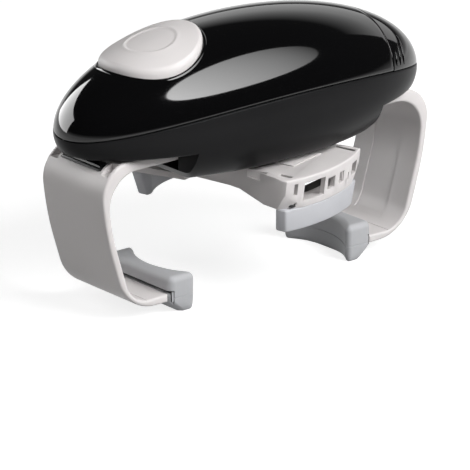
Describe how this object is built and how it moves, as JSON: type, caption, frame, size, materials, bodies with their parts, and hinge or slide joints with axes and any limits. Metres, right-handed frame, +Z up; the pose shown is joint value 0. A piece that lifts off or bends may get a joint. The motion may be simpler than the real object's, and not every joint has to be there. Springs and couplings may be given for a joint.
{
  "type": "automatic jar opener",
  "caption": "Cordless automatic jar opener: a domed housing with two sliding arms that hold the jar and a turning pair of jaws that grips and unscrews its lid.",
  "frame": {"origin": "centre of the footprint, at the underside of the rubber jar grips", "axes": "+X along the body towards the battery door, +Y away from the front lid jaw, +Z up"},
  "size_m": [0.212, 0.1079, 0.1322],
  "materials": {
    "gloss_black": "high-gloss moulded plastic",
    "black_plastic": "fine satin moulded plastic",
    "pale_plastic": "satin warm white moulded plastic",
    "grip_rubber": "soft matte rubber",
    "pad_rubber": "soft matte rubber",
    "steel": "bright zinc plate",
    "brass": "turned brass",
    "nylon": "natural acetal",
    "board_green": "solder-masked board",
    "cell_wrap": "plain cell sleeve"
  },
  "bodies": {
    "housing": {"lower_shell": "gloss_black", "upper_cover": "gloss_black", "shell_screws": "steel", "button_guide": "nylon", "circuit_board": "board_green", "tact_switch": "black_plastic", "gear_deck": "nylon", "plate_spacers": "brass", "motor_plate": "nylon", "plate_screws": "steel", "motor": "steel", "motor_screws": "steel", "gear_axles": "steel", "battery_tray": "black_plastic", "battery_cells": "cell_wrap", "battery_contacts": "steel", "turntable_bush": "nylon"},
    "door": {"battery_door": "gloss_black"},
    "push_button": {"button": "pale_plastic", "switch_plunger": "black_plastic", "button_spring": "steel"},
    "motor_shaft": {"motor_pinion": "brass"},
    "first_reduction": {"first_gear": "nylon"},
    "second_reduction": {"second_gear": "nylon"},
    "differential": {"centre_gear": "nylon", "differential_case": "nylon"},
    "arm_drive": {"arm_pinion": "nylon"},
    "left_grip_arm": {"left_arm": "pale_plastic", "left_grip": "grip_rubber"},
    "right_grip_arm": {"right_arm": "pale_plastic", "right_grip": "grip_rubber"},
    "jaw_turntable": {"turntable": "black_plastic", "retaining_ring": "steel", "turntable_floor": "black_plastic", "floor_screws": "steel"},
    "jaw_drive": {"jaw_pinion": "nylon"},
    "front_clamp": {"front_jaw": "pale_plastic", "front_lid_pad": "pad_rubber"},
    "rear_clamp": {"rear_jaw": "pale_plastic", "rear_lid_pad": "pad_rubber"}
  },
  "joints": [
    {"name": "arm_slide", "type": "slide", "parent": "housing", "child": "left_grip_arm", "axis": [1, 0, 0], "range_m": [-0.003, 0.034]},
    {"name": "right_arm_slide", "type": "slide", "parent": "housing", "child": "right_grip_arm", "axis": [1, 0, 0], "range_m": [-0.034, 0.003]},
    {"name": "arm_pinion_spin", "type": "hinge", "parent": "housing", "child": "arm_drive", "pos_m": [0, 0, 0.0775], "axis": [0, 0, 1], "range_deg": [-26, 248]},
    {"name": "differential_spin", "type": "hinge", "parent": "housing", "child": "differential", "pos_m": [0, 0, 0.0883], "axis": [0, 0, 1], "range_deg": [-15, 126]},
    {"name": "second_gear_spin", "type": "hinge", "parent": "housing", "child": "second_reduction", "pos_m": [-0.02142, -0.0078, 0.09], "axis": [0, 0, 1], "range_deg": [-461, 45]},
    {"name": "first_gear_spin", "type": "hinge", "parent": "housing", "child": "first_reduction", "pos_m": [-0.01809, 0.01111, 0.093], "axis": [0, 0, 1], "range_deg": [-125, 1374]},
    {"name": "motor_spin", "type": "hinge", "parent": "housing", "child": "motor_shaft", "pos_m": [0.00024, 0.00951, 0.096], "axis": [0, 0, 1], "range_deg": [-4936, 440]},
    {"name": "lid_turn", "type": "hinge", "parent": "housing", "child": "jaw_turntable", "pos_m": [0, 0, 0.067], "axis": [0, 0, 1], "continuous": true},
    {"name": "front_jaw_slide", "type": "slide", "parent": "jaw_turntable", "child": "front_clamp", "axis": [-0.2504, 0.9681, 0], "range_m": [-0.002, 0.027]},
    {"name": "rear_jaw_slide", "type": "slide", "parent": "jaw_turntable", "child": "rear_clamp", "axis": [0.2504, -0.9681, 0], "range_m": [-0.002, 0.027]},
    {"name": "jaw_pinion_spin", "type": "hinge", "parent": "jaw_turntable", "child": "jaw_drive", "pos_m": [0, 0, 0.0565], "axis": [0, 0, 1], "range_deg": [-20, 198]},
    {"name": "button_press", "type": "slide", "parent": "housing", "child": "push_button", "axis": [0, 0, -1], "range_m": [0, 0.002], "stiffness_N_per_m": 600, "springref_m": -0.001, "deforming": ["button_spring"]},
    {"name": "door_slide", "type": "slide", "parent": "housing", "child": "door", "axis": [1, 0, 0], "range_m": [0, 0.04]}
  ],
  "couplings": [
    {"joint": "right_arm_slide", "follows": "arm_slide", "ratio": -1},
    {"joint": "arm_pinion_spin", "follows": "arm_slide", "rad_per_m": 125},
    {"joint": "differential_spin", "follows": "arm_slide", "rad_per_m": 62.5},
    {"joint": "second_gear_spin", "follows": "arm_slide", "rad_per_m": -234.38},
    {"joint": "first_gear_spin", "follows": "arm_slide", "rad_per_m": 703.12},
    {"joint": "motor_spin", "follows": "arm_slide", "rad_per_m": -2531.2},
    {"joint": "rear_jaw_slide", "follows": "front_jaw_slide", "ratio": 1},
    {"joint": "jaw_pinion_spin", "follows": "front_jaw_slide", "rad_per_m": 125}
  ]
}
